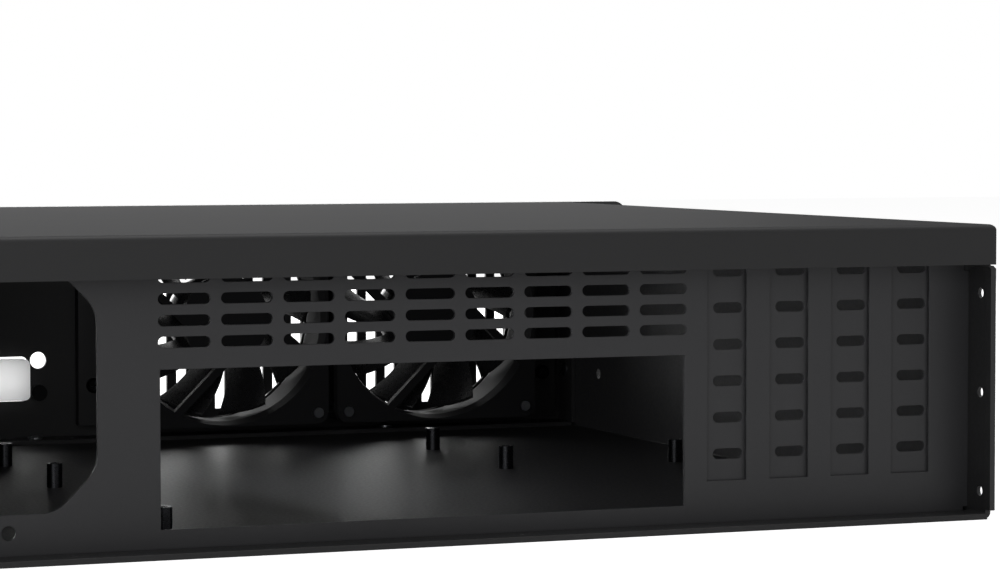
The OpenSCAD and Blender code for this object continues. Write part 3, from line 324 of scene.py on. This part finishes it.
def makeRotor(side, look):
    points, faces, count = [], [], 0
    columns = look["columns"]
    across = np.arange(columns - 2)
    for index in range(look["blades"]):
        skin = bladeSkin(look, index * 360 / look["blades"])
        skin = np.concatenate([skin, skin[:, :1]], axis=1)
        rows, around = skin.shape[:2]
        points.append(skin.reshape(-1, 3))
        faces.append(gridFaces(rows, around, count)[:, ::-1])
        # the tip is closed from side to side, the root ends inside the hub
        low = count + (rows - 1) * around
        faces.append(low + np.stack(
            [around - 1 - across, around - 2 - across, across + 1, across], axis=1))
        count += rows * around
    skin = hubSkin(look)
    points.append(skin.reshape(-1, 3))
    faces.append(gridFaces(skin.shape[0], skin.shape[1], count)[:, ::-1])
    local = np.concatenate(points)
    placed = np.stack([local[:, 0] + look["centres"][side], local[:, 2] + look["y"],
                       look["z"] - local[:, 1]], axis=1) * mm
    piece = makeSurface("fanRotor_" + side, placed, np.concatenate(faces), rotorPlastic)
    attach(piece, "rotor_" + side)
    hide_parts("fan_rotor_" + side)


for rotorSide in rotorLook["centres"]:
    makeRotor(rotorSide, rotorLook)
print("rotors made")

# Camera at the photograph's place: behind the case, to the supply side, a little above it.
# Place in metres, angles in degrees, lens and sensor in millimetres.
cameraLook = {
    "place": (0.27944, 1.04715, 0.11671), "yaw": 21.302, "pitch": 2.706, "roll": -0.054,
    "lens": 117.98, "sensor": 36.0, "nearest": 0.01}


def makeCamera(look):
    yaw, pitch, roll = (math.radians(look[key]) for key in ("yaw", "pitch", "roll"))
    forward = Vector((-math.sin(yaw) * math.cos(pitch), -math.cos(yaw) * math.cos(pitch),
                      -math.sin(pitch)))
    right = forward.cross(Vector((0, 0, 1))).normalized()
    up = right.cross(forward)
    turn = Matrix((right, up, -forward)).transposed() @ Matrix.Rotation(roll, 3, "Z")
    camera = bpy.data.objects.new("camera", bpy.data.cameras.new("camera"))
    camera.matrix_world = Matrix.Translation(look["place"]) @ turn.to_4x4()
    camera.data.lens = look["lens"]
    camera.data.sensor_width = look["sensor"]
    camera.data.clip_start = look["nearest"]
    bpy.context.scene.collection.objects.link(camera)
    bpy.context.scene.camera = camera


makeCamera(cameraLook)

# Studio: pale floor and white surround. dimFrom and dimTo are the Y of the direction
# between which the surround's gloss falls to rearGloss.
studioLook = {
    "floor": 8.0, "floorColour": "#f2f2f2", "floorGlow": 0.7, "fill": 0.3, "rearGloss": 0.5,
    "dimFrom": -0.2, "dimTo": 0.6}


def makeFloor(look):
    half = look["floor"] / 2
    corners = [(-half, -half, 0), (half, -half, 0), (half, half, 0), (-half, half, 0)]
    mesh = bpy.data.meshes.new("floor")
    mesh.from_pydata(corners, [], [(0, 1, 2, 3)])
    floor = bpy.data.objects.new("floor", mesh)
    bpy.context.scene.collection.objects.link(floor)
    # matt paper, which glows for the camera alone so that it shows white
    material, tree = newTree("floorPaper")
    paper = addNode(tree, "ShaderNodeBsdfDiffuse", {"Color": linearColour(look["floorColour"])})
    seen = addNode(tree, "ShaderNodeLightPath")
    strength = addNode(tree, "ShaderNodeMath", {
        0: seen.outputs["Is Camera Ray"], 1: look["floorGlow"]}, operation="MULTIPLY")
    glow = addNode(tree, "ShaderNodeEmission", {"Strength": strength.outputs[0]})
    both = addNode(tree, "ShaderNodeAddShader", {0: paper.outputs[0], 1: glow.outputs[0]})
    addNode(tree, "ShaderNodeOutputMaterial", {"Surface": both.outputs[0]})
    mesh.materials.append(material)


def makeWorld(look):
    world = bpy.data.worlds.new("surround")
    bpy.context.scene.world = world
    world.use_nodes = True
    tree = world.node_tree
    tree.nodes.clear()
    seen = addNode(tree, "ShaderNodeLightPath")
    # the surround is dimmer in the gloss on the rear, as a studio is behind its camera
    way = addNode(tree, "ShaderNodeTexCoord").outputs["Generated"]
    split = addNode(tree, "ShaderNodeSeparateXYZ", {"Vector": way})
    dim = addNode(tree, "ShaderNodeMapRange", {
        "Value": split.outputs["Y"], "From Min": look["dimFrom"], "From Max": look["dimTo"],
        "To Min": 1.0, "To Max": look["rearGloss"]})
    gloss = addNode(tree, "ShaderNodeMath", {
        0: seen.outputs["Is Glossy Ray"], 1: dim.outputs["Result"]}, operation="MULTIPLY")
    shown = addNode(tree, "ShaderNodeMath", {
        0: seen.outputs["Is Camera Ray"], 1: seen.outputs["Is Transmission Ray"]},
        operation="ADD")
    direct = addNode(tree, "ShaderNodeMath", {
        0: shown.outputs[0], 1: gloss.outputs[0]}, operation="ADD", use_clamp=True)
    strength = addNode(tree, "ShaderNodeMath", {
        0: direct.outputs[0], 1: look["fill"]}, operation="MAXIMUM")
    light = addNode(tree, "ShaderNodeBackground", {
        "Color": white, "Strength": strength.outputs[0]})
    addNode(tree, "ShaderNodeOutputWorld", {"Surface": light.outputs[0]})


# Lamps: place, aim, width and height in metres, power in watts, and whether gloss shows them
lamps = {
    "overheadSoftbox": ((0.0, 0.1, 1.6), (0.0, 0.0, 0.0), 1.6, 1.2, 14.0, True),
    "rearSoftbox": ((0.8, 1.3, 0.4), (-0.1, 0.1, 0.04), 1.2, 0.6, 4.0, True),
    "insideFill": ((-0.02, 0.06, 0.06), (-0.21, 0.02, 0.04), 0.16, 0.04, 0.22, False),
    "frontSoftbox": ((-0.2, -1.2, 0.35), (-0.1, -0.1, 0.05), 1.2, 0.7, 13.0, True),
}


def makeLamp(name, place, aim, width, height, power, inGloss):
    data = bpy.data.lights.new(name, "AREA")
    data.shape = "RECTANGLE"
    data.size = width
    data.size_y = height
    data.energy = power
    lamp = bpy.data.objects.new(name, data)
    turn = (Vector(aim) - Vector(place)).to_track_quat("-Z", "Y")
    lamp.matrix_world = Matrix.Translation(place) @ turn.to_matrix().to_4x4()
    lamp.visible_glossy = inGloss
    bpy.context.scene.collection.objects.link(lamp)


makeFloor(studioLook)
makeWorld(studioLook)
for lampName, values in lamps.items():
    makeLamp(lampName, *values)
bpy.context.scene.view_settings.view_transform = "Standard"
print("studio made")
